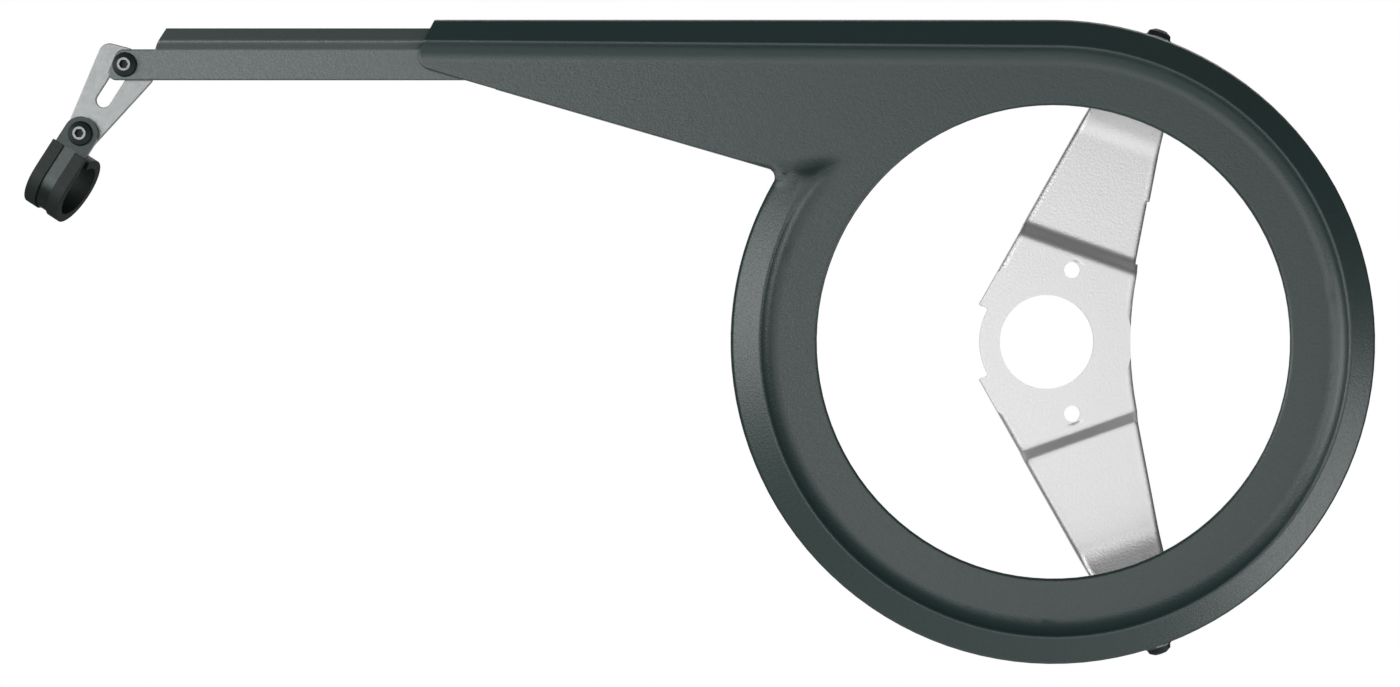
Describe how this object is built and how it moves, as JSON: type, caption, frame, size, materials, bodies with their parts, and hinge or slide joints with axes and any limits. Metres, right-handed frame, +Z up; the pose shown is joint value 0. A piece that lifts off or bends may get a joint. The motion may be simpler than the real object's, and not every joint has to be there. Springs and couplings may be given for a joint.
{
  "type": "bicycle chain guard",
  "caption": "Chain guard ring with a tapered tail, a telescoping rear extension, a slotted link and rubber lined stay clamp, on a pressed bottom bracket plate with bolted arms.",
  "frame": {"origin": "on the bottom bracket axis, at the front face of the bracket's flat plate", "axes": "+X to the front of the bicycle, +Y inboard along the bottom bracket axis, +Z up"},
  "size_m": [0.4965, 0.0378, 0.236],
  "materials": {
    "guard_plastic": "fine grained dark grey moulded plastic",
    "extension_plastic": "fine grained dark grey plastic profile",
    "bracket_sheet": "pale satin pressed sheet",
    "zinc_steel": "dull zinc plated steel",
    "clamp_steel": "grey zinc plated band",
    "black_steel": "black coated screw",
    "liner_rubber": "black rubber"
  },
  "bodies": {
    "guard": {"guard_shell": "guard_plastic", "bb_bracket": "bracket_sheet", "rim_screw_upper": "black_steel", "rim_washer_upper": "zinc_steel", "rim_nut_upper": "zinc_steel", "rim_screw_lower": "black_steel", "rim_washer_lower": "zinc_steel", "rim_nut_lower": "zinc_steel"},
    "extension": {"tail_extension": "extension_plastic"},
    "link_bolt": {"link_screw": "black_steel", "link_washer": "zinc_steel", "link_nut": "zinc_steel"},
    "link": {"link_plate": "zinc_steel"},
    "clamp": {"clamp_band": "clamp_steel", "clamp_liner": "liner_rubber", "clamp_screw": "black_steel", "clamp_washer": "zinc_steel", "clamp_nut": "zinc_steel"}
  },
  "joints": [
    {"name": "extension_slide", "type": "slide", "parent": "guard", "child": "extension", "axis": [1, 0, 0], "range_m": [-0.03, 0.06]},
    {"name": "link_pivot", "type": "hinge", "parent": "extension", "child": "link_bolt", "pos_m": [-0.3399, -0.0182, 0.1015], "axis": [0, 1, 0], "range_deg": [-35, 35]},
    {"name": "link_slot", "type": "slide", "parent": "link_bolt", "child": "link", "axis": [0.5388, 0, 0.8425], "range_m": [-0.001, 0.015]},
    {"name": "clamp_pivot", "type": "hinge", "parent": "link", "child": "clamp", "pos_m": [-0.35606, -0.0182, 0.07623], "axis": [0, 1, 0], "range_deg": [-60, 60]}
  ]
}
